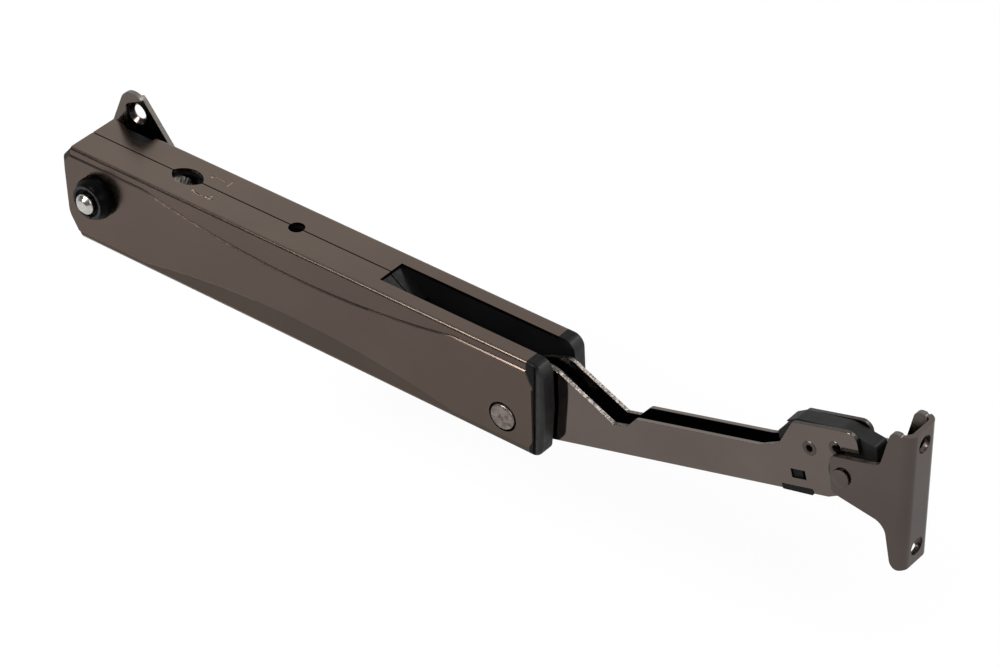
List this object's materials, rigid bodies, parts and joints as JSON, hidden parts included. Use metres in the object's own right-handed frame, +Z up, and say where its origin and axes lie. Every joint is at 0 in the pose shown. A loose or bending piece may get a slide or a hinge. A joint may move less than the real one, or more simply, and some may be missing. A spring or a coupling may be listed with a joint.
{
  "type": "lid stay",
  "caption": "Sprung folding-arm lid stay in a long pressed-steel housing, with an adjusting screw, a pivoting cabinet plate and a swivelling lid bracket.",
  "frame": {"origin": "midway between the two cabinet screw holes, on the face of the cabinet bracket that lies on the cabinet side", "axes": "+X along the housing towards the lid bracket, +Y into the cabinet side, +Z up"},
  "size_m": [0.2819, 0.0296, 0.0614],
  "materials": {
    "cover_metal": "satin",
    "nickel_metal": "polished",
    "plate_metal": "satin",
    "pin_steel": "polished",
    "spring_steel": "satin",
    "black_plastic": "matte",
    "grey_plastic": "satin"
  },
  "bodies": {
    "cabinet_side": {"cabinet_bracket": "plate_metal", "pivot_pin": "pin_steel"},
    "housing": {"near_cover": "cover_metal", "far_cover": "cover_metal", "near_liner": "black_plastic", "far_liner": "black_plastic", "pivot_bush": "black_plastic", "arm_rivet": "nickel_metal", "adjuster_block": "black_plastic", "upper_spring": "spring_steel", "lower_spring": "spring_steel"},
    "adjuster": {"adjusting_screw": "pin_steel"},
    "seat": {"spring_seat": "black_plastic"},
    "push_bar": {"slider": "black_plastic", "guide_rod": "pin_steel", "roller_pin": "pin_steel"},
    "roller": {"roller": "pin_steel"},
    "folding_arm": {"arm": "nickel_metal", "cam_plate": "pin_steel", "cam_rivet": "pin_steel", "arm_bush": "black_plastic", "clip_insert": "black_plastic", "tube_rivets": "nickel_metal"},
    "lever": {"release_lever": "grey_plastic"},
    "lid_side": {"lid_bracket": "nickel_metal", "lid_rivet": "nickel_metal", "lid_washers": "black_plastic"}
  },
  "joints": [
    {"name": "housing_swing", "type": "hinge", "parent": "cabinet_side", "child": "housing", "pos_m": [0.0035, -0.01295, 0], "axis": [0, -1, 0], "range_deg": [-60, 60]},
    {"name": "adjuster_turn", "type": "hinge", "parent": "housing", "child": "adjuster", "pos_m": [0.0234, -0.01295, 0.0034], "axis": [1, 0, 0], "range_deg": [0, 1800]},
    {"name": "seat_shift", "type": "slide", "parent": "housing", "child": "seat", "axis": [1, 0, 0], "range_m": [0, 0.0075], "deforming": ["upper_spring", "lower_spring"]},
    {"name": "arm_fold", "type": "hinge", "parent": "housing", "child": "folding_arm", "pos_m": [0.1472, -0.01295, -0.0091], "axis": [0, -1, 0], "range_deg": [0, 132], "stiffness_Nm_per_rad": 0.35, "springref_deg": -68.75},
    {"name": "bar_push", "type": "slide", "parent": "housing", "child": "push_bar", "axis": [-1, 0, 0], "range_m": [0, 0.0157], "deforming": ["upper_spring", "lower_spring"]},
    {"name": "roller_spin", "type": "hinge", "parent": "push_bar", "child": "roller", "pos_m": [0.1402, -0.01295, -0.0023], "axis": [0, -1, 0], "continuous": true},
    {"name": "lever_press", "type": "hinge", "parent": "folding_arm", "child": "lever", "pos_m": [0.23906, -0.01295, 0.02123], "axis": [0, -1, 0], "range_deg": [0, 6], "stiffness_Nm_per_rad": 0.3, "springref_deg": -2.86},
    {"name": "bracket_swing", "type": "hinge", "parent": "folding_arm", "child": "lid_side", "pos_m": [0.25034, -0.01295, 0.01902], "axis": [0, -1, 0], "range_deg": [-95, 105]}
  ],
  "couplings": [
    {"joint": "adjuster_turn", "follows": "seat_shift", "rad_per_m": 4188.8},
    {"joint": "bar_push", "follows": "arm_fold", "m_per_rad": 0.0068}
  ]
}
